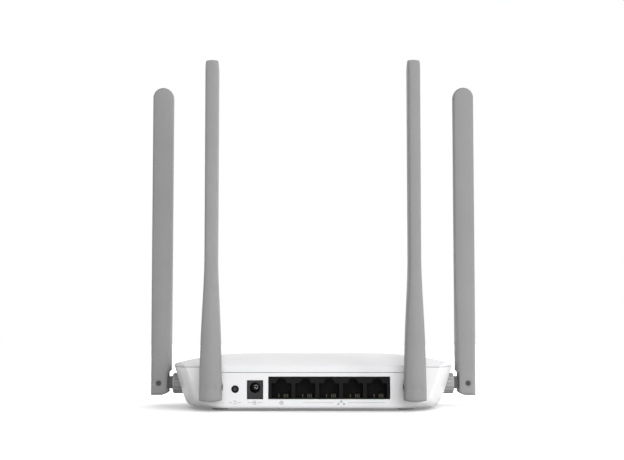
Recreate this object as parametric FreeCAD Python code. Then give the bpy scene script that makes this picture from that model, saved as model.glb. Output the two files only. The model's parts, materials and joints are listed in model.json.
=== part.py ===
import FreeCAD, Part
import math
import os

# Wireless router with a low dished housing, five network ports and four swivelling antennas.
# Millimetres, +Z up, feet on Z = 0, front towards -Y, ports on the rear, towards +Y.
# The housing is drawn about its own centre; everything is moved by ORIGIN_SHIFT when written,
# so that the origin lies under the middle of the box round the whole router, antennas upright.

# ---- housing ----
REAR_Y = 58.0
FRONT_Y = -58.0
HALF_WIDTH = 87.7
SIDE_ARC_R = 141.0
FRONT_ARC_R = 230.0
BASE_Z = 1.8
SEAM_Z = 26.0
SEAM_GAP = 0.2
WALL = 2.0
FLOOR_TOP = BASE_Z + WALL
SIDE_LEAN = 0.32
REAR_TRIM = 0.25
DOME_TOP = 33.4
DOME_DROP = 7.9
DOME_HALF_X = 89.1
DOME_HALF_REAR = 60.2
DOME_HALF_FRONT = 60.5
SKIRT_HALF = 57.0
SKIRT_Z = 22.8

# ---- antennas ----
MOUNT_Z = 14.3
SIDE_SEAT_X = 82.2
REAR_SEAT_Y = 55.1
REAR_MOUNT_X = 58.7
SEAT_TO_PIN = 15.9
SIDE_COLLAR_R = 6.55
REAR_COLLAR_R = 5.7
COLLAR_END = 7.2
RIB_COUNT = 16
POCKET_CLEARANCE = 0.35
BOSS_R = 9.2
NECK_R = 4.0
NECK_HOLE_R = 4.06
NECK_BORE_R = 1.5
BLADE_TOP = 190.9
BLADE_BOTTOM = -7.7
BLADE_HALF_A = 6.675
BLADE_MID_A = -0.975
LUG_HALF_W = 2.7
SLOT_HALF_W = 3.0
PIN_R = 1.2
PIN_HOLE_R = 1.25
PIN_HALF = 5.2
LUG_R = 4.4
LUG_LOW = -3.4
TOE_RISE = 0.8
CAVITY_HALF_A = 3.3
CAVITY_HALF_W = 2.1

# ---- ports and board ----
BOARD_TOP = 7.4
BOARD_THICK = 1.6
BOARD_HALF_X = 62.0
BOARD_REAR = 55.4
BOARD_FRONT = -18.5
PORT_FACE_Y = 57.6
PORT_PITCH = 13.97
PORT_COUNT = 5
PORT_MID_X = -9.55
PORT_BLOCK_WIDTH = 70.9
PORT_BLOCK_TOP = 20.1
PORT_BLOCK_DEPTH = 13.6
PORT_WIDTH = 11.7
PORT_FLOOR = 7.95
PORT_ROOF = 16.5
PORT_DEPTH = 12.0
CONTACT_PITCH = 1.02
CONTACT_COUNT = 8
WIRED_CONTACTS = (0, 1, 2, 5)
OPENING_GAP = 0.25
JACK_X = 33.9
JACK_WIDTH = 9.05
JACK_TOP = 17.95
JACK_DEPTH = 13.5
JACK_HOLE_Z = 13.9
JACK_HOLE_R = 3.15
JACK_PIN_R = 1.0
BUTTON_X = 45.6
BUTTON_Z = 13.0
BUTTON_R = 1.7
BUTTON_HOLE_R = 2.25
SCREW_SPOTS = ((70.0, 22.0), (-70.0, 22.0), (64.0, -30.0), (-64.0, -30.0))
FOOT_SPOTS = ((56.0, 37.0), (-56.0, 37.0), (54.0, -35.0), (-54.0, -35.0))
BOARD_SCREW_SPOTS = ((57.0, 22.0), (-57.0, 22.0), (57.0, -13.0), (-57.0, -13.0))
FOOT_R = 5.0
LED_COUNT = 7
LED_PITCH = 6.5
LED_Y = -15.6
WINDOW_Y = -36.0
KEYHOLE_X = 40.0
KEYHOLE_Y = -23.0

REAR_PIN_Y = REAR_SEAT_Y + SEAT_TO_PIN
ORIGIN_SHIFT = -(REAR_PIN_Y + BLADE_MID_A + BLADE_HALF_A + FRONT_Y) / 2.0

X_AXIS = FreeCAD.Vector(1, 0, 0)
Y_AXIS = FreeCAD.Vector(0, 1, 0)
Z_AXIS = FreeCAD.Vector(0, 0, 1)

os.makedirs("parts", exist_ok=True)


# ---- small helpers ----
def vec(x, y, z):
    return FreeCAD.Vector(x, y, z)


def block(x0, x1, y0, y1, z0, z1):
    return Part.makeBox(x1 - x0, y1 - y0, z1 - z0, vec(x0, y0, z0))


def rod(radius, length, start, axis):
    return Part.makeCylinder(radius, length, start, axis)


def fuse(shapes):
    if len(shapes) == 1:
        return shapes[0]
    return shapes[0].multiFuse(shapes[1:]).removeSplitter()


def group(shapes):
    return Part.makeCompound(shapes)


def prism(points, direction):
    """Extrude the closed polygon through the points."""
    face = Part.Face(Part.makePolygon(points + points[:1]))
    return face.extrude(direction)


def bent_tube(points, radius):
    """A tube along straight runs, joined by tangent arcs as large as the runs allow."""
    pieces = []
    last = points[0]
    for before, corner, after in zip(points, points[1:], points[2:]):
        back = (before - corner).normalize()
        ahead = (after - corner).normalize()
        run = 0.45 * min((before - corner).Length, (after - corner).Length)
        start = corner + back * run
        half_angle = back.getAngle(ahead) / 2.0
        centre = corner + (back + ahead).normalize() * (run / math.cos(half_angle))
        hinge = ahead.cross(back).normalize()
        ring = Part.Face(Part.Wire(Part.makeCircle(radius, start, back)))
        pieces.append(rod(radius, (start - last).Length, last, start - last))
        pieces.append(ring.revolve(centre, hinge, 180.0 - 2.0 * math.degrees(half_angle)))
        last = corner + ahead * run
    pieces.append(rod(radius, (points[-1] - last).Length, last, points[-1] - last))
    return fuse(pieces)


# ---- housing outlines ----
def circle_crossing(x0, y0, r0, x1, y1, r1):
    """The crossing of two circles that lies further towards +X."""
    apart = math.hypot(x1 - x0, y1 - y0)
    along = (r0 * r0 - r1 * r1 + apart * apart) / (2.0 * apart)
    off = math.sqrt(r0 * r0 - along * along)
    ux = (x1 - x0) / apart
    uy = (y1 - y0) / apart
    first = (x0 + along * ux - off * uy, y0 + along * uy + off * ux)
    second = (x0 + along * ux + off * uy, y0 + along * uy - off * ux)
    return max(first, second)


def arc_edge(cx, cy, radius, angle0, angle1, z):
    marks = []
    for angle in (angle0, (angle0 + angle1) / 2.0, angle1):
        marks.append(vec(cx + radius * math.cos(angle), cy + radius * math.sin(angle), z))
    return Part.Arc(*marks).toShape()


def outline(half_width, rear, front, rear_r, front_r, z):
    """Plan outline: straight rear, two long side arcs, a shallow front arc and four corner arcs."""
    side_x = half_width - SIDE_ARC_R
    rear_cy = rear - rear_r
    rear_cx = side_x + math.sqrt((SIDE_ARC_R - rear_r) ** 2 - rear_cy ** 2)
    front_y = front + FRONT_ARC_R
    front_cx, front_cy = circle_crossing(side_x, 0.0, SIDE_ARC_R - front_r,
                                         0.0, front_y, FRONT_ARC_R - front_r)
    side_top = math.atan2(rear_cy, rear_cx - side_x)
    side_low = math.atan2(front_cy, front_cx - side_x)
    nose = math.atan2(front_cy - front_y, front_cx)
    straight = math.pi
    quarter = math.pi / 2.0
    edges = [
        Part.LineSegment(vec(-rear_cx, rear, z), vec(rear_cx, rear, z)).toShape(),
        arc_edge(rear_cx, rear_cy, rear_r, quarter, side_top, z),
        arc_edge(side_x, 0.0, SIDE_ARC_R, side_top, side_low, z),
        arc_edge(front_cx, front_cy, front_r, side_low, nose, z),
        arc_edge(0.0, front_y, FRONT_ARC_R, nose, -straight - nose, z),
        arc_edge(-front_cx, front_cy, front_r, -straight - nose, -straight - side_low, z),
        arc_edge(-side_x, 0.0, SIDE_ARC_R, straight - side_low, straight - side_top, z),
        arc_edge(-rear_cx, rear_cy, rear_r, straight - side_top, quarter, z),
    ]
    return Part.Wire(edges)


def hull_wire(z, side_tuck, rear_tuck, rear_r, front_r, inset):
    lean = SIDE_LEAN * (SEAM_Z - z)
    return outline(HALF_WIDTH - lean - side_tuck - inset, REAR_Y + REAR_TRIM - rear_tuck - inset,
                   FRONT_Y + lean + side_tuck + inset, rear_r, front_r, z)


def trimmed_hull(lofts, inset, z_low):
    return fuse(lofts).common(block(-120, 120, -80, REAR_Y - inset, z_low - 1, SEAM_Z))


def outer_hull():
    """Leaning sides that turn under towards a smaller flat floor, and a flat upright rear."""
    knee = (BASE_Z + 6.0, 0.0, 0.0, 5.0, 30.0, 0.0)
    turn_under = (
        (BASE_Z, 3.0, 1.2, 25.0, 36.0, 0.0),
        (BASE_Z + 1.2, 1.1, 0.25, 17.0, 34.0, 0.0),
        (BASE_Z + 3.0, 0.25, 0.0, 10.0, 32.0, 0.0),
        knee,
    )
    top = (SEAM_Z + 1.5, 0.0, 0.0, 3.2, 28.0, 0.0)
    lower = Part.makeLoft([hull_wire(*values) for values in turn_under], True, False)
    upper = Part.makeLoft([hull_wire(*knee), hull_wire(*top)], True, True)
    return trimmed_hull([lower, upper], 0.0, BASE_Z)


def inner_hull():
    levels = (
        (FLOOR_TOP, 2.0, 0.6, 22.0, 34.0, WALL),
        (FLOOR_TOP + 2.5, 0.2, 0.0, 12.0, 31.0, WALL),
        (SEAM_Z + 1.5, 0.0, 0.0, 3.2, 26.0, WALL),
    )
    return trimmed_hull([Part.makeLoft([hull_wire(*values) for values in levels], True, True)],
                        WALL, FLOOR_TOP)


def dome_height(x, y):
    reach = DOME_HALF_REAR
    if y < 0:
        reach = DOME_HALF_FRONT
    spread = (abs(x) / DOME_HALF_X) ** 12 + (abs(y) / reach) ** 12
    return DOME_TOP - DOME_DROP * spread ** (5.0 / 12.0)


def under_dome(lower):
    """Everything below the domed top, lowered by the given amount."""
    rows = []
    for i in range(-12, 13):
        x = 8.0 * i
        rows.append([vec(x, 6.0 * j, dome_height(x, 6.0 * j) - lower) for j in range(-11, 12)])
    surface = Part.BSplineSurface()
    surface.interpolate(rows)
    return surface.toShape().extrude(vec(0, 0, -45))


def rim_prism(inset, z0, z1):
    wire = outline(HALF_WIDTH - inset, REAR_Y - inset, FRONT_Y + inset, 3.0, 28.0, z0)
    return Part.Face(wire).extrude(vec(0, 0, z1 - z0))


# ---- housing ----
def screw_posts(radius, z0, z1):
    return [rod(radius, z1 - z0, vec(x, y, z0), Z_AXIS) for x, y in SCREW_SPOTS]


def led_x(index):
    return (index - (LED_COUNT - 1) / 2.0) * LED_PITCH


def make_top_cover():
    outer = rim_prism(0.0, SKIRT_Z, DOME_TOP + 2).common(under_dome(0.0))
    inner = rim_prism(WALL, SKIRT_Z - 1, DOME_TOP + 2).common(under_dome(WALL))
    cover = outer.cut(inner)
    below = block(-120, 120, -80, 80, SKIRT_Z - 1, SEAM_Z)
    skirt = block(-SKIRT_HALF, SKIRT_HALF, REAR_Y - WALL, REAR_Y + 1, SKIRT_Z, SEAM_Z)
    cover = cover.cut(below.cut(skirt))
    posts = fuse([group(screw_posts(3.5, 9.0, DOME_TOP)).common(under_dome(WALL - 0.5)), cover])
    pilots = group(screw_posts(1.45, 8.0, 22.0))
    windows = [block(led_x(i) - 0.8, led_x(i) + 0.8, WINDOW_Y - 2.5, WINDOW_Y + 2.5, 28, 36)
               for i in range(LED_COUNT)]
    return posts.cut(group([pilots] + windows))


def collar_radius(axis):
    if abs(axis.x) > 0.5:
        return SIDE_COLLAR_R
    return REAR_COLLAR_R


def pocket_cut(seat, axis):
    """Round pocket for a swivel collar, with the hole for its neck."""
    return group([rod(collar_radius(axis) + POCKET_CLEARANCE, 12.0, seat, axis),
                  rod(NECK_HOLE_R, 14.0, seat - axis * 7.0, axis)])


def mounts():
    """Name, seat centre and outward axis of each antenna; left and right as seen from the front."""
    return (
        ("left_side", vec(-SIDE_SEAT_X, 0, MOUNT_Z), vec(-1, 0, 0)),
        ("right_side", vec(SIDE_SEAT_X, 0, MOUNT_Z), vec(1, 0, 0)),
        ("left_rear", vec(-REAR_MOUNT_X, REAR_SEAT_Y, MOUNT_Z), vec(0, 1, 0)),
        ("right_rear", vec(REAR_MOUNT_X, REAR_SEAT_Y, MOUNT_Z), vec(0, 1, 0)),
    )


def keyhole(x):
    """Round entry and narrow neck of a wall-mount keyhole in the floor; the neck runs forward."""
    end = KEYHOLE_Y - 9.0
    return [rod(4.0, 3.0, vec(x, KEYHOLE_Y, BASE_Z - 0.5), Z_AXIS),
            block(x - 2.1, x + 2.1, end, KEYHOLE_Y, BASE_Z - 0.5, BASE_Z + 2.5),
            rod(2.1, 3.0, vec(x, end, BASE_Z - 0.5), Z_AXIS)]


def vent_slots():
    slots = []
    for row in (-22.0, 14.0):
        for i in range(-6, 7):
            slots.append(block(i * 5.0 - 1.1, i * 5.0 + 1.1, row - 9.0, row + 9.0,
                               BASE_Z - 0.5, FLOOR_TOP + 0.5))
    return slots


def make_bottom_case():
    outer = outer_hull()
    case = outer.cut(inner_hull())
    extras = []
    for name, seat, axis in mounts():
        extras.append(rod(BOSS_R, WALL + 3.0, seat - axis * WALL, axis).common(outer))
    lip = rim_prism(WALL + 0.1, 21.5, 27.4).cut(rim_prism(WALL + 1.1, 21.0, 28.0))
    lip = lip.common(under_dome(WALL + 0.15))
    gap_for_skirt = block(-SKIRT_HALF - 0.3, SKIRT_HALF + 0.3, REAR_Y - WALL - 0.05, REAR_Y + 2,
                          SKIRT_Z - SEAM_GAP, SEAM_Z + 1)
    extras.append(lip)
    extras.append(block(-50, 50, REAR_Y - WALL - 1.1, REAR_Y - WALL + 0.3, 21.5, SKIRT_Z - SEAM_GAP))
    extras += screw_posts(4.2, BASE_Z + 0.5, 9.0)
    for x, y in BOARD_SCREW_SPOTS:
        extras.append(rod(3.2, BOARD_TOP - BOARD_THICK - BASE_Z - 1, vec(x, y, BASE_Z + 1), Z_AXIS))
    for x, y in FOOT_SPOTS:
        extras.append(rod(FOOT_R + 1.5, 3.0, vec(x, y, BASE_Z + 0.3), Z_AXIS))
    case = fuse([case] + extras)
    cuts = [gap_for_skirt]
    for name, seat, axis in mounts():
        cuts.append(pocket_cut(seat, axis))
    port_left = PORT_MID_X - PORT_BLOCK_WIDTH / 2 - OPENING_GAP
    port_right = PORT_MID_X + PORT_BLOCK_WIDTH / 2 + OPENING_GAP
    cuts.append(block(port_left, port_right, REAR_Y - WALL - 2, REAR_Y + 2,
                      BOARD_TOP - OPENING_GAP, PORT_BLOCK_TOP + OPENING_GAP))
    cuts.append(block(JACK_X - JACK_WIDTH / 2 - OPENING_GAP, JACK_X + JACK_WIDTH / 2 + OPENING_GAP,
                      REAR_Y - WALL - 2, REAR_Y + 2, BOARD_TOP - OPENING_GAP, JACK_TOP + OPENING_GAP))
    cuts.append(rod(BUTTON_HOLE_R, 8, vec(BUTTON_X, REAR_Y - WALL - 2, BUTTON_Z), Y_AXIS))
    cuts += screw_posts(3.1, BASE_Z - 1, 6.0)
    cuts += screw_posts(1.6, 5.0, 10.0)
    for x, y in BOARD_SCREW_SPOTS:
        cuts.append(rod(1.1, 4.0, vec(x, y, FLOOR_TOP - 1), Z_AXIS))
    for x, y in FOOT_SPOTS:
        cuts.append(rod(FOOT_R + 0.1, 1.7, vec(x, y, BASE_Z - 0.7), Z_AXIS))
    cuts += keyhole(KEYHOLE_X)
    cuts += keyhole(-KEYHOLE_X)
    cuts += vent_slots()
    case = case.cut(group(cuts))
    return case.cut(block(-120, 120, -80, 80, SEAM_Z - SEAM_GAP, SEAM_Z + 0.01).cut(
        rim_prism(WALL, SEAM_Z - 2, SEAM_Z + 2)))


def make_feet():
    feet = []
    for x, y in FOOT_SPOTS:
        pad = rod(FOOT_R, BASE_Z + 1.0, vec(x, y, 0), Z_AXIS)
        feet.append(pad.makeChamfer(0.5, [pad.Edges[2]]))
    return group(feet)


def pan_screw(x, y, head_z, head_r, head_h, shank_r, shank_h):
    """A screw driven upwards, with a cross recess in its head."""
    head = rod(head_r, head_h, vec(x, y, head_z), Z_AXIS)
    shank = rod(shank_r, shank_h, vec(x, y, head_z + head_h), Z_AXIS)
    cross = [block(x - head_r * 0.6, x + head_r * 0.6, y - 0.35, y + 0.35, head_z, head_z + head_h * 0.5),
             block(x - 0.35, x + 0.35, y - head_r * 0.6, y + head_r * 0.6, head_z, head_z + head_h * 0.5)]
    return head.fuse(shank).cut(group(cross))


def make_case_screws():
    return group([pan_screw(x, y, 4.0, 2.8, 2.0, 1.45, 12.0) for x, y in SCREW_SPOTS])


def make_light_guide():
    """Clear pipes that carry each lamp's light up and forward to its window in the cover."""
    low = 28.6
    high = 30.6
    pipes = []
    for i in range(LED_COUNT):
        left = led_x(i) - 0.75
        right = led_x(i) + 0.75
        pipes.append(block(left, right, LED_Y - 1.2, LED_Y + 1.2, BOARD_TOP + 1.6, low + 1))
        pipes.append(block(left, right, WINDOW_Y - 2.4, LED_Y + 1.2, low, high))
        pipes.append(block(left, right, WINDOW_Y - 2.4, WINDOW_Y + 2.4, low, DOME_TOP))
    tie = block(led_x(0) - 2, led_x(LED_COUNT - 1) + 2, LED_Y - 10, LED_Y - 7, low, high)
    return fuse([tie] + pipes).common(under_dome(0.05))


# ---- antennas: A outwards along X, W along Y, U up along Z, hinge pin at the origin ----
def blade_section(height, half_w, crown_a, crown_w, corner_r):
    """Rounded section with crowned sides: eight arcs, each tangent to the next."""
    radius_a = (half_w ** 2 + crown_a ** 2) / (2.0 * crown_a)
    radius_w = (BLADE_HALF_A ** 2 + crown_w ** 2) / (2.0 * crown_w)
    centre_a = BLADE_HALF_A - radius_a
    centre_w = half_w - radius_w
    corner_x, corner_y = circle_crossing(centre_a, 0.0, radius_a - corner_r,
                                         0.0, centre_w, radius_w - corner_r)
    low = math.atan2(corner_y, corner_x - centre_a)
    high = math.atan2(corner_y - centre_w, corner_x)
    turn = math.pi
    mid = BLADE_MID_A
    return Part.Wire([
        arc_edge(mid + centre_a, 0.0, radius_a, -low, low, height),
        arc_edge(mid + corner_x, corner_y, corner_r, low, high, height),
        arc_edge(mid, centre_w, radius_w, high, turn - high, height),
        arc_edge(mid - corner_x, corner_y, corner_r, turn - high, turn - low, height),
        arc_edge(mid - centre_a, 0.0, radius_a, turn - low, turn + low, height),
        arc_edge(mid - corner_x, -corner_y, corner_r, turn + low, turn + high, height),
        arc_edge(mid, -centre_w, radius_w, turn + high, 2 * turn - high, height),
        arc_edge(mid + corner_x, -corner_y, corner_r, -high, -low, height),
    ])


def make_blade():
    straight_top = BLADE_TOP - BLADE_HALF_A
    top_section = (straight_top, 3.88, 0.45, 0.5, 0.7)
    lower = (
        (BLADE_BOTTOM, 6.6, 2.2, 1.0, 1.5), (20.0, 6.1, 2.0, 1.0, 1.4), (40.0, 5.3, 1.5, 1.0, 1.2),
        (58.0, 4.4, 0.95, 0.95, 1.0), (70.0, 3.98, 0.7, 0.9, 0.8), (78.0, 3.92, 0.6, 0.85, 0.7),
    )
    flare = Part.makeLoft([blade_section(*values) for values in lower], True, False)
    upper = Part.makeLoft([blade_section(*lower[-1]), blade_section(*top_section)], True, True)
    half_disc = Part.Face(blade_section(*top_section)).common(
        block(BLADE_MID_A, 20, -10, 10, straight_top - 1, straight_top + 1))
    tip = half_disc.revolve(vec(BLADE_MID_A, 0, straight_top), vec(0, -1, 0), 180.0)
    blade = flare.multiFuse([upper, tip])
    under = block(-12, 0, -10, 10, -12, 0).cut(rod(-BLADE_BOTTOM, 20, vec(0, -10, 0), Y_AXIS))
    toe_r = (6.6 ** 2 + TOE_RISE ** 2) / (2.0 * TOE_RISE)
    toe = block(-12, 12, -10, 10, -12, BLADE_BOTTOM + 3).cut(
        rod(toe_r, 24, vec(-12, 0, BLADE_BOTTOM + toe_r), X_AXIS))
    notch = prism([vec(-12, -10, -4.9), vec(-5.5, -10, -4.9), vec(-5.5, -10, 6.7), vec(-7.1, -10, 8.3),
                   vec(-12, -10, 8.3)], vec(0, 20, 0))
    slot = fuse([block(-12, 0, -SLOT_HALF_W, SLOT_HALF_W, -12, 6.8),
                 block(-0.5, 3.8, -SLOT_HALF_W, SLOT_HALF_W, -12, 0.5),
                 rod(LUG_R + 0.4, 2 * SLOT_HALF_W, vec(0, -SLOT_HALF_W, 0), Y_AXIS)])
    holes = [rod(PIN_R, 20, vec(0, -10, 0), Y_AXIS),
             rod(1.65, 10, vec(0, PIN_HALF, 0), Y_AXIS),
             rod(1.65, 10, vec(0, -PIN_HALF - 10, 0), Y_AXIS),
             rod(1.4, 12, vec(BLADE_MID_A, 0, 5.0), Z_AXIS)]
    cavity = block(BLADE_MID_A - CAVITY_HALF_A, BLADE_MID_A + CAVITY_HALF_A,
                   -CAVITY_HALF_W, CAVITY_HALF_W, 15, BLADE_TOP - 8)
    return blade.cut(fuse([under, notch])).cut(toe).cut(fuse([slot] + holes)).cut(cavity)


def make_hinge_pin():
    return rod(PIN_R, 2 * PIN_HALF, vec(0, -PIN_HALF, 0), Y_AXIS)


def make_radiator():
    """Printed dipole with its two arms and the feed lead below it."""
    strip = block(BLADE_MID_A - CAVITY_HALF_A, BLADE_MID_A + CAVITY_HALF_A, -0.4, 0.4, 34, 150)
    upper = block(BLADE_MID_A - 1.6, BLADE_MID_A + 1.6, 0.4, 0.55, 95, 146)
    lower = block(BLADE_MID_A - 2.6, BLADE_MID_A + 2.6, 0.4, 0.55, 38, 90)
    lead = rod(0.7, 80, vec(BLADE_MID_A, -1.0, 16), Z_AXIS)
    return fuse([strip, upper, lower, lead])


def make_swivel_base(collar_r):
    """Ribbed collar, split neck that snaps through the wall, and the hinge lug."""
    start = -SEAT_TO_PIN
    end = start + COLLAR_END
    collar = rod(collar_r, COLLAR_END - 0.2, vec(start + 0.2, 0, 0), X_AXIS)
    collar = collar.makeChamfer(0.5, [edge for edge in collar.Edges if edge.Length > 30])
    neck = rod(NECK_R, 2.6, vec(start - 2.3, 0, 0), X_AXIS)
    barb = Part.makeCone(3.5, 4.65, 2.3, vec(start - 4.6, 0, 0), X_AXIS)
    lug = fuse([block(end - 0.5, 0, -LUG_HALF_W, LUG_HALF_W, LUG_LOW, LUG_R),
                rod(LUG_R, 2 * LUG_HALF_W, vec(0, -LUG_HALF_W, 0), Y_AXIS)])
    base = fuse([collar, neck, barb, lug])
    cuts = [rod(PIN_HOLE_R, 20, vec(0, -10, 0), Y_AXIS),
            rod(NECK_BORE_R, COLLAR_END + 6.4, vec(start - 5, 0, 0), X_AXIS),
            rod(0.9, 6, vec(end + 1.0, 0, 0), Z_AXIS),
            block(start - 6, start - 0.6, -0.6, 0.6, -8, 8),
            block(start - 6, start - 0.6, -8, 8, -0.6, 0.6)]
    for i in range(RIB_COUNT):
        groove = block(start + 1.6, end - 1.2, -0.5, 0.5, collar_r - 0.6, collar_r + 1)
        groove.rotate(vec(0, 0, 0), X_AXIS, i * 360.0 / RIB_COUNT)
        cuts.append(groove)
    return base.cut(group(cuts))


def place_antenna(shape, seat, axis):
    turn = math.degrees(math.atan2(axis.y, axis.x))
    copy = shape.copy()
    copy.Placement = FreeCAD.Placement(seat + axis * SEAT_TO_PIN, FreeCAD.Rotation(Z_AXIS, turn))
    return copy


# ---- rear connectors ----
def port_x(index):
    return PORT_MID_X + (2 - index) * PORT_PITCH


def make_port_block():
    body = block(PORT_MID_X - PORT_BLOCK_WIDTH / 2, PORT_MID_X + PORT_BLOCK_WIDTH / 2,
                 PORT_FACE_Y - PORT_BLOCK_DEPTH, PORT_FACE_Y, BOARD_TOP, PORT_BLOCK_TOP)
    cuts = []
    for i in range(PORT_COUNT):
        x = port_x(i)
        back = PORT_FACE_Y - PORT_DEPTH
        cuts.append(block(x - PORT_WIDTH / 2, x + PORT_WIDTH / 2, back, 60, PORT_FLOOR, PORT_ROOF))
        cuts.append(block(x - 3.0, x + 3.0, back, 60, PORT_ROOF - 0.1, PORT_ROOF + 1.4))
        cuts.append(block(x - 2.1, x + 2.1, back, 60, PORT_ROOF + 1.3, PORT_ROOF + 2.6))
    return body.cut(group(cuts))


def make_port_contacts(index):
    """The four wired springs of the eight places, rising from the front of the port floor."""
    wires = []
    front = PORT_FACE_Y - 1.2
    back = PORT_FACE_Y - PORT_DEPTH
    for i in WIRED_CONTACTS:
        x = port_x(index) + (i - (CONTACT_COUNT - 1) / 2.0) * CONTACT_PITCH - 0.22
        side = [vec(x, front, PORT_FLOOR), vec(x, front - 0.4, PORT_FLOOR + 2.2),
                vec(x, back + 6, PORT_FLOOR + 2.7), vec(x, back + 6, PORT_FLOOR + 2.4),
                vec(x, front - 0.75, PORT_FLOOR + 1.9), vec(x, front - 0.35, PORT_FLOOR)]
        wires.append(prism(side, vec(0.44, 0, 0)))
    return group(wires)


def make_jack_body():
    body = block(JACK_X - JACK_WIDTH / 2, JACK_X + JACK_WIDTH / 2,
                 PORT_FACE_Y - JACK_DEPTH, PORT_FACE_Y, BOARD_TOP, JACK_TOP)
    hole = rod(JACK_HOLE_R, 20, vec(JACK_X, PORT_FACE_Y - 10.0, JACK_HOLE_Z), Y_AXIS)
    back = rod(JACK_PIN_R + 0.3, 4, vec(JACK_X, PORT_FACE_Y - 12.5, JACK_HOLE_Z), Y_AXIS)
    groove = block(JACK_X - 0.8, JACK_X + 0.8, PORT_FACE_Y - 10.0, PORT_FACE_Y - 1.5,
                   JACK_HOLE_Z - JACK_HOLE_R - 0.6, JACK_HOLE_Z)
    return body.cut(group([hole, back, groove]))


def make_jack_pin():
    root = rod(JACK_PIN_R + 0.3, 2.5, vec(JACK_X, PORT_FACE_Y - 12.5, JACK_HOLE_Z), Y_AXIS)
    pin = rod(JACK_PIN_R, 9.2, vec(JACK_X, PORT_FACE_Y - 10.0, JACK_HOLE_Z), Y_AXIS)
    tip = [edge for edge in pin.Edges if edge.CenterOfMass.y > PORT_FACE_Y - 1 and edge.Length > 5]
    return root.fuse(pin.makeChamfer(0.35, tip))


def make_jack_spring():
    low = JACK_HOLE_Z - JACK_HOLE_R - 0.6
    back = PORT_FACE_Y - 10.0
    side = [vec(JACK_X - 0.7, back, low), vec(JACK_X - 0.7, back, low + 0.3),
            vec(JACK_X - 0.7, back + 5.5, low + 1.05), vec(JACK_X - 0.7, back + 8.0, low + 0.3),
            vec(JACK_X - 0.7, back + 8.0, low)]
    return prism(side, vec(1.4, 0, 0))


def make_reset_switch():
    body = block(BUTTON_X - 3.4, BUTTON_X + 3.4, 50.2, 55.2, BOARD_TOP, BUTTON_Z + 2.6)
    bore = rod(BUTTON_R + 0.06, 3.4, vec(BUTTON_X, 52.2, BUTTON_Z), Y_AXIS)
    return body.cut(bore)


def make_reset_button():
    stem = rod(BUTTON_R, 4.6, vec(BUTTON_X, 52.8, BUTTON_Z), Y_AXIS)
    return stem.makeChamfer(0.25, [edge for edge in stem.Edges if edge.CenterOfMass.y > 57
                                   and edge.Length > 5])


# ---- board and its parts ----
def on_board(x, y, wide, deep, high):
    return block(x - wide / 2, x + wide / 2, y - deep / 2, y + deep / 2, BOARD_TOP, BOARD_TOP + high)


def make_main_board():
    board = block(-BOARD_HALF_X, BOARD_HALF_X, BOARD_FRONT, BOARD_REAR,
                  BOARD_TOP - BOARD_THICK, BOARD_TOP)
    holes = [rod(1.5, 4, vec(x, y, BOARD_TOP - 3), Z_AXIS) for x, y in BOARD_SCREW_SPOTS]
    corners = [block(side * REAR_MOUNT_X - 6.7, side * REAR_MOUNT_X + 6.7,
                     REAR_SEAT_Y - WALL - 0.4, 60, 0, 10)
               for side in (-1, 1)]
    return board.cut(group(holes + corners))


def make_board_screws():
    screws = []
    for x, y in BOARD_SCREW_SPOTS:
        screw = pan_screw(x, -y, 0.0, 2.2, 1.4, 1.1, 4.0)
        screw.rotate(vec(0, 0, 0), X_AXIS, 180.0)
        screw.translate(vec(0, 0, BOARD_TOP + 1.4))
        screws.append(screw)
    return group(screws)


def leaded_chip(x, y, wide, deep, high, leads):
    """A moulded package on rows of leads along two sides."""
    body = block(x - wide / 2, x + wide / 2, y - deep / 2, y + deep / 2,
                 BOARD_TOP + 0.15, BOARD_TOP + high)
    pins = [body]
    pitch = wide / (leads + 0.5)
    for i in range(leads):
        px = x + (i - (leads - 1) / 2.0) * pitch
        pins.append(block(px - pitch * 0.2, px + pitch * 0.2, y - deep / 2 - 0.9, y + deep / 2 + 0.9,
                          BOARD_TOP, BOARD_TOP + 0.4))
    return fuse(pins)


def make_transformers():
    return group([leaded_chip(x, 36.5, 15.2, 7.4, 5.6, 8) for x in (12.0, -8.0, -28.0)])


def make_shield_can():
    can = on_board(-36.0, 8.0, 30.0, 24.0, 2.8)
    inside = block(-50.7, -21.3, -3.7, 19.7, BOARD_TOP - 1, BOARD_TOP + 2.5)
    holes = [block(8 * i - 38.0, 8 * i - 34.0, 7.2, 8.8, BOARD_TOP + 1, BOARD_TOP + 4) for i in range(-1, 2)]
    return can.cut(inside).cut(group(holes))


def make_capacitors():
    return group([rod(r, h, vec(x, y, BOARD_TOP), Z_AXIS)
                  for x, y, r, h in ((47.0, 41.0, 3.15, 7.7), (40.0, 36.0, 4.0, 10.0))])


def make_small_parts():
    spots = []
    for i in range(6):
        spots.append((-14.0 + 5.0 * i, 25.0, 2.0, 1.25))
        spots.append((-12.0 + 5.0 * i, 3.0, 1.0, 0.5))
        spots.append((16.0 + 3.2 * i, -12.0, 1.6, 0.8))
        spots.append((-50.0 + 5.0 * i, -10.0, 1.6, 0.8))
    return group([on_board(x, y, wide, deep, deep * 0.8) for x, y, wide, deep in spots])


def make_status_leds():
    return group([on_board(led_x(i), LED_Y, 1.6, 3.2, 1.1) for i in range(LED_COUNT)])


def coax_route(seat, axis):
    """From a solder pad on the board up to the bore in the antenna's neck."""
    mouth = seat - axis * 5.2
    side = math.copysign(1.0, seat.x)
    lying = BOARD_TOP + 0.7
    if abs(axis.x) > 0.5:
        return [vec(side * 52, 18, lying), vec(side * 60, 12, lying + 0.6), vec(side * 66, 6, lying + 3.0),
                mouth - axis * 7.0, mouth]
    return [vec(side * 52, 26, lying), vec(side * 56.5, 30, lying + 0.4), vec(side * 59.5, 36, lying + 3.0),
            mouth - axis * 7.0, mouth]


def make_coax(seat, axis):
    return bent_tube(coax_route(seat, axis), 0.68)


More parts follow.
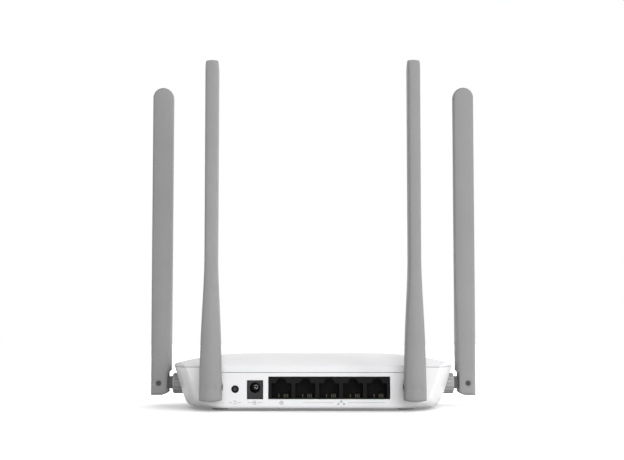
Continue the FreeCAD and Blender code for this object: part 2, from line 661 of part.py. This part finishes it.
# ---- write the parts ----
def write(name, shape):
    moved = shape.copy()
    moved.translate(vec(0, ORIGIN_SHIFT, 0))
    moved.exportStep("parts/" + name + ".step")


write("top_cover", make_top_cover())
write("bottom_case", make_bottom_case())
write("rubber_feet", make_feet())
write("case_screws", make_case_screws())
write("led_light_guide", make_light_guide())
write("network_port_block", make_port_block())
for number in range(PORT_COUNT):
    write("port_contacts_" + str(number + 1), make_port_contacts(number))
write("power_jack_body", make_jack_body())
write("power_jack_pin", make_jack_pin())
write("power_jack_spring", make_jack_spring())
write("reset_switch", make_reset_switch())
write("reset_button", make_reset_button())
write("main_board", make_main_board())
write("board_screws", make_board_screws())
write("processor", on_board(-2.0, 14.0, 12.0, 12.0, 0.9))
write("switch_chip", leaded_chip(28.0, 20.0, 14.0, 14.0, 1.4, 16))
write("memory_chip", leaded_chip(-2.0, -6.0, 12.0, 8.0, 1.1, 12))
write("flash_chip", leaded_chip(22.0, 2.0, 5.3, 5.3, 1.9, 4))
write("lan_transformers", make_transformers())
write("radio_shield_can", make_shield_can())
write("crystal", on_board(12.0, 14.0, 3.2, 2.5, 0.8))
write("power_inductor", on_board(47.0, 30.0, 6.0, 6.0, 3.0))
write("bulk_capacitors", make_capacitors())
write("small_board_parts", make_small_parts())
write("status_leds", make_status_leds())
blade = make_blade()
hinge_pin = make_hinge_pin()
radiator = make_radiator()
for name, seat, axis in mounts():
    write(name + "_antenna", place_antenna(blade, seat, axis))
    write(name + "_swivel_base", place_antenna(make_swivel_base(collar_radius(axis)), seat, axis))
    write(name + "_hinge_pin", place_antenna(hinge_pin, seat, axis))
    write(name + "_radiator", place_antenna(radiator, seat, axis))
    write(name + "_coax", make_coax(seat, axis))
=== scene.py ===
import bpy
import bmesh
import json
import math
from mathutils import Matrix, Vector


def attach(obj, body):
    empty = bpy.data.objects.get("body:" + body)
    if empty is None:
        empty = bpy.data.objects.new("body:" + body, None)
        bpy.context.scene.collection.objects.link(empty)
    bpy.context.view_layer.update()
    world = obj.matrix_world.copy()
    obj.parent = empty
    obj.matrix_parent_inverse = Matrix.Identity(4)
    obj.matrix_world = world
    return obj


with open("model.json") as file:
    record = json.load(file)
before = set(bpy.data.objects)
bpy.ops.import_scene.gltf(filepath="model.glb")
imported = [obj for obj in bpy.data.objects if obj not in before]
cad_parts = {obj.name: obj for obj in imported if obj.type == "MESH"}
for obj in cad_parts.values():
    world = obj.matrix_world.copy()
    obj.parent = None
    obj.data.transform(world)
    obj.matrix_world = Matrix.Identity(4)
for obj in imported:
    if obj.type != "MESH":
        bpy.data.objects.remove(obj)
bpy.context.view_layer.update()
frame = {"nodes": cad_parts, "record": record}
nodes = frame["nodes"]

# A wireless router, seen from the rear. Metres, +Z up, ports towards +Y.
REAR_FACE = 0.04865        # Y of the housing's rear wall, around the sockets
PORT_FACE = 0.04825        # Y of the face of the port block and of the jack, a little inside it
SIDE_COLLAR_END = 0.0894   # distance from X = 0 at which a side collar ends and its hinge lug begins
REAR_COLLAR_END = 0.05295  # Y at which a rear collar ends and its hinge lug begins
PORT_PITCH = 0.01397
PORT_MID_X = -0.00955
JACK_X, JACK_Z = 0.0339, 0.0139
BUTTON_X, BUTTON_Z = 0.0456, 0.0130


# ---- shader nodes ----
def new_material(name):
    material = bpy.data.materials.new(name)
    material.use_nodes = True
    tree = material.node_tree
    return material, tree, tree.nodes["Principled BSDF"]


def add(tree, kind, inputs=None, **settings):
    """A new node: settings are its own, and each input gets a plain value or a link from a socket."""
    node = tree.nodes.new("ShaderNode" + kind)
    for key, value in settings.items():
        setattr(node, key, value)
    for key, value in (inputs or {}).items():
        if isinstance(value, bpy.types.NodeSocket):
            tree.links.new(value, node.inputs[key])
        else:
            node.inputs[key].default_value = value
    return node


def object_place(tree):
    """Place on the router; it moves with the piece, because a piece's own axes start as the frame's."""
    return add(tree, "TexCoord").outputs["Object"]


def ramp(tree, value, source, target, **settings):
    """Value taken from one range to another, held at both ends."""
    inputs = {"Value": value, "From Min": source[0], "From Max": source[1],
              "To Min": target[0], "To Max": target[1]}
    return add(tree, "MapRange", inputs, **settings).outputs["Result"]


def noise(tree, scale, detail=3.0, rough=0.55, stretch=None):
    """Noise over the piece's own coordinates; scale is in features per metre."""
    place = object_place(tree)
    if stretch:
        place = add(tree, "Mapping", {"Vector": place, "Scale": stretch}).outputs["Vector"]
    inputs = {"Vector": place, "Scale": scale, "Detail": detail, "Roughness": rough}
    return add(tree, "TexNoise", inputs).outputs["Fac"]


def remap(tree, value, low, high):
    """Noise, which keeps near its middle, spread from low to high."""
    return ramp(tree, value, (0.3, 0.7), (low, high))


def tint(tree, value, dark, light):
    """Colour that wanders between two shades with the noise."""
    inputs = {"A": (*dark, 1), "B": (*light, 1), "Factor": remap(tree, value, 0.0, 1.0)}
    return add(tree, "Mix", inputs, data_type="RGBA").outputs["Result"]


def relief(tree, shader, value, strength, distance, edge=0.0):
    """Fine surface grain, and edges softened by the given radius."""
    inputs = {"Strength": strength, "Distance": distance, "Height": value}
    if edge:
        inputs["Normal"] = add(tree, "Bevel", {"Radius": edge}, samples=6).outputs["Normal"]
    tree.links.new(add(tree, "Bump", inputs).outputs["Normal"], shader.inputs["Normal"])


def scaled(tree, colour, share):
    return add(tree, "VectorMath", {0: colour, "Scale": share}, operation="SCALE").outputs["Vector"]


def painted_bore_shade(tree, colour, face, depth, left):
    """Painted shade: colour that falls to the share left at this depth below the face, darkening the inside of
    a socket.
    """
    axes = add(tree, "SeparateXYZ", {"Vector": object_place(tree)})
    return scaled(tree, colour, ramp(tree, axes.outputs["Y"], (face - depth, face), (left, 1.0)))


def painted_lug_shade(tree, colour, left):
    """Painted shade: colour that falls to the share left on the hinge lugs, beyond the collars, where they sit
    in the shadow of their slots.
    """
    axes = add(tree, "SeparateXYZ", {"Vector": object_place(tree)})
    across = add(tree, "Math", {0: axes.outputs["X"]}, operation="ABSOLUTE").outputs[0]
    past = [add(tree, "Math", {0: value, 1: collar_end}, operation="SUBTRACT").outputs[0]
            for value, collar_end in ((across, SIDE_COLLAR_END), (axes.outputs["Y"], REAR_COLLAR_END))]
    furthest = add(tree, "Math", {0: past[0], 1: past[1]}, operation="MAXIMUM").outputs[0]
    return scaled(tree, colour, ramp(tree, furthest, (0.0, 0.0006), (1.0, left)))


# ---- materials ----
def moulded(name, dark, light, rough, spread, grain, depth, edge=0.0, specular=0.5, bore=None, lugs=None):
    """Moulded plastic or rubber: slight shade drift, uneven gloss and a fine spark texture.

    rough and spread give the roughness and how far it wanders, grain and depth the size of the
    texture (features per metre, metres), edge the radius that edges are softened by. bore and lugs
    paint shade into the colour: darker down inside a socket, and on the hinge lugs beyond the collars.
    """
    material, tree, shader = new_material(name)
    colour = tint(tree, noise(tree, 35.0, 4.0), dark, light)
    # painted shade, where asked for: darker inside a socket and on the hinge lugs
    if bore:
        colour = painted_bore_shade(tree, colour, *bore)
    if lugs:
        colour = painted_lug_shade(tree, colour, lugs)
    tree.links.new(colour, shader.inputs["Base Color"])
    gloss = noise(tree, 160.0, 5.0)
    tree.links.new(remap(tree, gloss, rough - spread, rough + spread), shader.inputs["Roughness"])
    shader.inputs["Specular IOR Level"].default_value = specular
    relief(tree, shader, noise(tree, grain, 2.0), 0.35, depth, edge)
    return material


def metal(name, dark, light, rough, stretch):
    """Bare metal with faint drawn lines; stretch is small along them."""
    material, tree, shader = new_material(name)
    drawn = noise(tree, 900.0, 3.0, 0.6, stretch)
    tree.links.new(tint(tree, drawn, dark, light), shader.inputs["Base Color"])
    tree.links.new(remap(tree, drawn, rough * 0.7, rough * 1.3), shader.inputs["Roughness"])
    shader.inputs["Metallic"].default_value = 1.0
    relief(tree, shader, drawn, 0.2, 0.00002)
    return material


def clear_plastic(name, colour):
    """Slightly hazy polycarbonate."""
    material, tree, shader = new_material(name)
    haze = noise(tree, 400.0, 3.0)
    dim = [c * 0.94 for c in colour]
    tree.links.new(tint(tree, haze, dim, colour), shader.inputs["Base Color"])
    tree.links.new(remap(tree, haze, 0.12, 0.22), shader.inputs["Roughness"])
    shader.inputs["Transmission Weight"].default_value = 0.55
    shader.inputs["IOR"].default_value = 1.58
    return material


def board_mask(name):
    """Green solder mask over copper: lines of slightly lighter traces."""
    material, tree, shader = new_material(name)
    bricks = add(tree, "TexBrick", {
        "Vector": object_place(tree), "Scale": 420.0, "Mortar Size": 0.06,
        "Color1": (0.012, 0.085, 0.035, 1), "Color2": (0.014, 0.1, 0.042, 1), "Mortar": (0.03, 0.17, 0.075, 1)})
    tree.links.new(bricks.outputs["Color"], shader.inputs["Base Color"])
    tree.links.new(remap(tree, noise(tree, 300.0), 0.25, 0.4), shader.inputs["Roughness"])
    relief(tree, shader, bricks.outputs["Fac"], 0.4, 0.00004)
    return material


def copper_strip(name):
    """Glass-epoxy strip with copper arms in bands along it."""
    material, tree, shader = new_material(name)
    bands = noise(tree, 60.0, 1.0, 0.5, (0.2, 0.2, 1.0))
    tree.links.new(tint(tree, bands, (0.05, 0.16, 0.06), (0.45, 0.2, 0.09)), shader.inputs["Base Color"])
    shader.inputs["Roughness"].default_value = 0.4
    relief(tree, shader, bands, 0.3, 0.00003)
    return material


def grey(value):
    return value, value, value


SMOOTH, SOFT, FINE, FINER, FINEST = 1500.0, 1800.0, 2600.0, 3000.0, 4000.0  # grain, features per metre
EVEN, ALONG_X, ALONG_Y = (1, 1, 1), (0.1, 1, 1), (1, 0.1, 1)  # which way the lines in metal run
# How to make the material of each slot of the part, and from which values.
FINISHES = {
    "housing_white": (moulded, ((0.89, 0.89, 0.905), (0.92, 0.92, 0.93), 0.36, 0.03, FINE, 0.00001),
                      {"edge": 0.0006, "specular": 0.4}),
    "antenna_grey": (moulded, (grey(0.28), grey(0.3), 0.45, 0.04, FINE, 0.00003), {"edge": 0.0026}),
    # base_grey gets painted shade on the hinge lugs beyond the collars.
    "base_grey": (moulded, (grey(0.37), grey(0.4), 0.52, 0.04, FINE, 0.00003),
                  {"edge": 0.00025, "lugs": 0.3}),
    "pin_dark": (moulded, (grey(0.05), grey(0.07), 0.5, 0.05, FINE, 0.00002), {}),
    "port_black": (moulded, ((0.0055, 0.0055, 0.0058), (0.0085, 0.0085, 0.0088), 0.55, 0.06, FINER, 0.00002),
                   {"edge": 0.0002, "specular": 0.12}),
    # jack_black gets painted shade: its colour darkens down inside the socket, below the face.
    "jack_black": (moulded, ((0.03, 0.03, 0.0315), (0.04, 0.04, 0.042), 0.5, 0.06, FINER, 0.00002),
                   {"edge": 0.0002, "specular": 0.2, "bore": (PORT_FACE - 0.0001, 0.0008, 0.15)}),
    "button_black": (moulded, (grey(0.014), grey(0.021), 0.4, 0.05, FINER, 0.00002), {"edge": 0.0003}),
    "contact_gilt": (metal, ((0.075, 0.067, 0.048), (0.12, 0.108, 0.08), 0.42, ALONG_Y), {}),
    "jack_metal": (metal, ((0.45, 0.45, 0.455), (0.55, 0.55, 0.555), 0.3, ALONG_Y), {}),
    "screw_steel": (metal, ((0.45, 0.45, 0.47), (0.6, 0.6, 0.62), 0.35, EVEN), {}),
    "can_metal": (metal, ((0.5, 0.5, 0.51), (0.66, 0.66, 0.66), 0.38, ALONG_X), {}),
    "foot_rubber": (moulded, (grey(0.68), grey(0.74), 0.75, 0.05, SOFT, 0.00005),
                    {"edge": 0.0004, "specular": 0.3}),
    "clear_guide": (clear_plastic, ((0.86, 0.88, 0.9),), {}),
    "board_green": (board_mask, (), {}),
    "chip_black": (moulded, ((0.015, 0.015, 0.016), (0.024, 0.024, 0.025), 0.6, 0.06, FINEST, 0.00003), {}),
    "led_resin": (moulded, ((0.7, 0.7, 0.6), (0.8, 0.8, 0.7), 0.3, 0.04, SMOOTH, 0.00001), {}),
    "radiator_board": (copper_strip, (), {}),
    "coax_black": (moulded, (grey(0.012), grey(0.02), 0.5, 0.05, SMOOTH, 0.00003), {}),
}
slots = {name: make(name, *values, **extra) for name, (make, values, extra) in FINISHES.items()}
for part in frame["record"]["subparts"]:
    shown = nodes[part["node"]]
    shown.data.materials.clear()
    shown.data.materials.append(slots[part["material_slot"]])

print_grey = moulded("print_grey", (0.4, 0.4, 0.41), (0.48, 0.48, 0.49), 0.6, 0.05, FINER, 0.00001)


# ---- pieces of the scene's own ----
def place_piece(name, mesh, material, body):
    """The mesh as a piece of the router that moves with the body."""
    mesh.materials.append(material)
    piece = bpy.data.objects.new(name, mesh)
    bpy.context.scene.collection.objects.link(piece)
    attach(piece, body)


# Signs printed under the sockets, on the rear face.
PRINT_LIFT = 0.00002   # clear of the wall
PRINT_THICK = 0.00003
MARK_Z = 0.0052
BOLD, PLAIN, LIGHT, LONG = 0.00026, 0.00024, 0.0002, 0.00018  # widths of lines


def printed_piece(name, shapes):
    """Thin raised print: each shape is a list of (x, z) corners on the rear face."""
    mesh = bpy.data.meshes.new(name)
    bm = bmesh.new()
    for corners in shapes:
        face = bm.faces.new([bm.verts.new((x, REAR_FACE + PRINT_LIFT, z)) for x, z in corners])
        grown = bmesh.ops.extrude_face_region(bm, geom=[face])
        moved = [v for v in grown["geom"] if isinstance(v, bmesh.types.BMVert)]
        bmesh.ops.translate(bm, verts=moved, vec=(0, PRINT_THICK, 0))
    bmesh.ops.recalc_face_normals(bm, faces=bm.faces)
    bm.to_mesh(mesh)
    bm.free()
    place_piece(name, mesh, print_grey, "housing")


def bar(x0, x1, z0, z1):
    return [(x0, z0), (x1, z0), (x1, z1), (x0, z1)]


def dash(x0, x1, wide):
    """Level line on the middle of the row of signs."""
    return bar(x0, x1, MARK_Z - wide / 2, MARK_Z + wide / 2)


def arc_strip(cx, cz, radius, wide, start, end, steps):
    """Short quads that follow an arc, in degrees, of the given line width."""
    quads = []
    inner, outer = radius - wide / 2, radius + wide / 2
    for i in range(steps):
        a = math.radians(start + (end - start) * i / steps)
        b = math.radians(start + (end - start) * (i + 1) / steps)
        quads.append([(cx + reach * math.cos(turn), cz + reach * math.sin(turn))
                      for reach, turn in ((inner, a), (outer, a), (outer, b), (inner, b))])
    return quads


def port_x(index):
    return PORT_MID_X + (2 - index) * PORT_PITCH


def turn_back_sign(x):
    """Round arrow between two dashes, for the reset button."""
    z = MARK_Z
    head = [(x + 0.0001, z + 0.0013), (x + 0.0001, z + 0.0004), (x + 0.0009, z + 0.00085)]
    return (arc_strip(x, z, 0.0009, BOLD, 60, 350, 10) + [head]
            + [dash(x - 0.0036, x - 0.0018, BOLD), dash(x + 0.0018, x + 0.0036, BOLD)])


def polarity_sign(x):
    """Open ring round a dot, with a lead on each side, for the power jack."""
    leads = ((-0.0035, -0.0012), (0.0012, 0.0026), (0.0029, 0.0043), (-0.0043, -0.0037))
    return (arc_strip(x, MARK_Z, 0.00105, BOLD, -140, 140, 12)
            + arc_strip(x, MARK_Z, 0.0003, 0.0004, 0, 360, 8)
            + [dash(x + start, x + end, PLAIN) for start, end in leads])


def globe_sign(x):
    """Circle with a level line and two bowed ones, for the port to the outer network."""
    sign = arc_strip(x, MARK_Z, 0.00105, PLAIN, 0, 360, 16) + [dash(x - 0.00105, x + 0.00105, LIGHT)]
    for side, start in ((-1, 132), (1, -48)):
        sign += arc_strip(x - side * 0.0009, MARK_Z, 0.00135, LIGHT, start, start + 96, 6)
    return sign


def linked_boxes_sign(x):
    """Three linked boxes between two long lines, for the ports to the inner network."""
    z = MARK_Z
    sign = [bar(x + bx - 0.0006, x + bx + 0.0006, z + bz - 0.0004, z + bz + 0.0004)
            for bx, bz in ((0, 0.0008), (-0.0017, -0.0009), (0.0017, -0.0009))]
    sign += [bar(x - 0.0001, x + 0.0001, z, z + 0.0004), dash(x - 0.0018, x + 0.0018, LIGHT),
             bar(x - 0.0018, x - 0.0016, z - 0.0005, z), bar(x + 0.0016, x + 0.0018, z - 0.0005, z)]
    return sign + [dash(x + 0.0040, port_x(1) + 0.0012, LONG), dash(port_x(4) - 0.0050, x - 0.0040, LONG)]


printed_piece("mark_reset", turn_back_sign(BUTTON_X))
printed_piece("mark_power", polarity_sign(JACK_X))
printed_piece("mark_outer_net", globe_sign(port_x(0)))
printed_piece("mark_inner_net", linked_boxes_sign((port_x(1) + port_x(4)) / 2))

# Dark rings of painted shade, about an axis square to the rear face: profile as (radius, y), middle as (x, z),
# body.
SHADE_RINGS = {
    # painted shade: a dark ring in the button hole, just clear of the button itself, for the shadowed gap round
    # the button
    "button_gap_shade": (((0.00178, 0.0472), (0.0022, 0.0472), (0.0022, 0.04835), (0.0021, 0.04845),
                          (0.00188, 0.04845), (0.00178, 0.04835)),
                         (BUTTON_X, BUTTON_Z), "housing"),
    # painted shade: a dark rim on the button's own face, for its shaded edge
    "button_edge_shade": (((0.00115, 0.048), (0.00164, 0.048), (0.00164, 0.04806), (0.00156, 0.04813),
                          (0.00125, 0.04813), (0.00115, 0.04807)),
                         (BUTTON_X, BUTTON_Z), "reset_plunger"),
    # painted shade: a dark ring on the pin's tip round its bright middle, for the shade in a hollow end
    "pin_tip_shade": (((0.00026, 0.04744), (0.00066, 0.04744), (0.00066, 0.04747), (0.00062, 0.04749),
                         (0.0003, 0.04749), (0.00026, 0.04747)),
                        (JACK_X, JACK_Z), "housing"),
}
RING_STEPS = 32


def painted_shade_ring(name, profile, middle, body):
    """Closed ring of port_black, turned from the profile: a dark ring of painted shade."""
    mesh = bpy.data.meshes.new(name)
    count = len(profile)
    corners = []
    faces = []
    for i in range(RING_STEPS):
        turn = 2 * math.pi * i / RING_STEPS
        corners += [(middle[0] + radius * math.cos(turn), y, middle[1] + radius * math.sin(turn))
                    for radius, y in profile]
        here, after = i * count, (i + 1) % RING_STEPS * count
        for j in range(count):
            k = (j + 1) % count
            faces.append((here + j, after + j, after + k, here + k))
    mesh.from_pydata(corners, [], faces)
    bm = bmesh.new()
    bm.from_mesh(mesh)
    bmesh.ops.recalc_face_normals(bm, faces=bm.faces)
    bm.to_mesh(mesh)
    bm.free()
    place_piece(name, mesh, slots["port_black"], body)


for ring, drawing in SHADE_RINGS.items():
    painted_shade_ring(ring, *drawing)

# ---- floor ----
FLOOR_HALF = 9.0
FLOOR_PALE = 0.45           # its colour as it lights the router
# The glow, seen only from the camera, is low in a patch round the router and full further out: painted shade,
# so the floor is darker in that patch than further out, and shadow beyond it is washed to white.
GLOW_NEAR, GLOW_FAR = 0.05, 0.10   # distances between which the floor rises to plain white
GLOW_MIDDLE = 0.2           # glow under the router, low enough to leave the shadow
GLOW_SQUEEZE = 0.6          # the patch that keeps the shadow is this much longer along X


def glow_strength(tree):
    """Low in the middle of the floor and 1 further out: a patch of painted shade round the router."""
    place = add(tree, "Mapping", {"Vector": object_place(tree), "Scale": (GLOW_SQUEEZE, 1, 1)})
    distance = add(tree, "VectorMath", {0: place.outputs["Vector"]}, operation="LENGTH").outputs["Value"]
    return ramp(tree, distance, (GLOW_NEAR, GLOW_FAR), (GLOW_MIDDLE, 1.0), interpolation_type="SMOOTHSTEP")


def seen_directly(tree):
    """1 for rays from the camera and those seen in gloss or through clear plastic, else 0."""
    path = add(tree, "LightPath").outputs
    seen = path["Is Camera Ray"]
    for name in ("Is Glossy Ray", "Is Transmission Ray"):
        seen = add(tree, "Math", {0: seen, 1: path[name]}, operation="MAXIMUM").outputs[0]
    return seen


def mix_by_ray(tree, lighting, seen):
    """The first shader for what lights the router, the second where the eye meets it."""
    inputs = {0: seen_directly(tree), 1: lighting.outputs[0], 2: seen.outputs[0]}
    return add(tree, "MixShader", inputs).outputs[0]


def pale_floor():
    corners = [(x * FLOOR_HALF, y * FLOOR_HALF, 0) for x, y in ((-1, -1), (1, -1), (1, 1), (-1, 1))]
    mesh = bpy.data.meshes.new("floor")
    mesh.from_pydata(corners, [], [(0, 1, 2, 3)])
    material = bpy.data.materials.new("floor_pale")
    material.use_nodes = True
    tree = material.node_tree
    tree.nodes.clear()
    pale = add(tree, "BsdfDiffuse", {"Color": (*grey(FLOOR_PALE), 1)})
    white = add(tree, "BsdfDiffuse", {"Color": (1, 1, 1, 1)})
    glow = add(tree, "Emission", {"Strength": glow_strength(tree)})
    seen = add(tree, "AddShader", {0: white.outputs[0], 1: glow.outputs[0]})
    add(tree, "OutputMaterial", {"Surface": mix_by_ray(tree, pale, seen)})
    mesh.materials.append(material)
    floor = bpy.data.objects.new("floor", mesh)
    bpy.context.scene.collection.objects.link(floor)


# ---- world and lamps ----
ROOM_PALE = 0.9
ROOM_STRENGTH = 0.37
# name, place, target, size, watts, seen in gloss
LAMPS = (
    ("key", (-1.9, 0.6, 0.75), (0, 0, 0.07), (1.6, 1.6), 23, False),
    ("front", (-0.3, 1.8, 0.5), (0, 0, 0.05), (1.2, 1.4), 24.5, False),
    ("top", (-0.2, 0.1, 1.5), (0, 0, 0.02), (1.2, 1.2), 0.8, True),
    ("far_left", (0.7, -1.7, 0.8), (0, 0, 0.03), (1.2, 1.0), 10, False),
    ("far_right", (-0.9, -1.6, 0.8), (0, 0, 0.03), (1.2, 1.0), 10, False),
)


def soft_light(name, place, target, size, watts, gloss):
    data = bpy.data.lights.new(name, "AREA")
    data.shape = "RECTANGLE"
    data.size, data.size_y = size
    data.energy = watts
    lamp = bpy.data.objects.new(name, data)
    bpy.context.scene.collection.objects.link(lamp)
    lamp.location = place
    lamp.rotation_euler = (Vector(target) - Vector(place)).to_track_quat("-Z", "Y").to_euler()
    lamp.visible_glossy = gloss


def studio():
    world = bpy.data.worlds.new("studio")
    bpy.context.scene.world = world
    world.use_nodes = True
    tree = world.node_tree
    tree.nodes.clear()
    room = add(tree, "Background", {"Color": (*grey(ROOM_PALE), 1), "Strength": ROOM_STRENGTH})
    white = add(tree, "Background", {"Color": (1, 1, 1, 1), "Strength": 1.0})
    add(tree, "OutputWorld", {"Surface": mix_by_ray(tree, room, white)})
    for lamp in LAMPS:
        soft_light(*lamp)


# ---- camera ----
CAMERA_PLACE = (-0.002, 0.6745, 0.0416)
CAMERA_TILT = 3.617     # degrees up from level
CAMERA_HEADING = 180.23
CAMERA_LENS = 61.39
CAMERA_SHIFT = 0.0689   # 43 px of 624


def set_camera():
    data = bpy.data.cameras.new("camera")
    data.lens = CAMERA_LENS
    data.sensor_width = 36
    data.shift_y = CAMERA_SHIFT
    camera = bpy.data.objects.new("camera", data)
    bpy.context.scene.collection.objects.link(camera)
    camera.location = CAMERA_PLACE
    camera.rotation_euler = (math.radians(90 + CAMERA_TILT), 0, math.radians(CAMERA_HEADING))
    bpy.context.scene.camera = camera


pale_floor()
studio()
set_camera()
bpy.context.scene.view_settings.view_transform = "Standard"
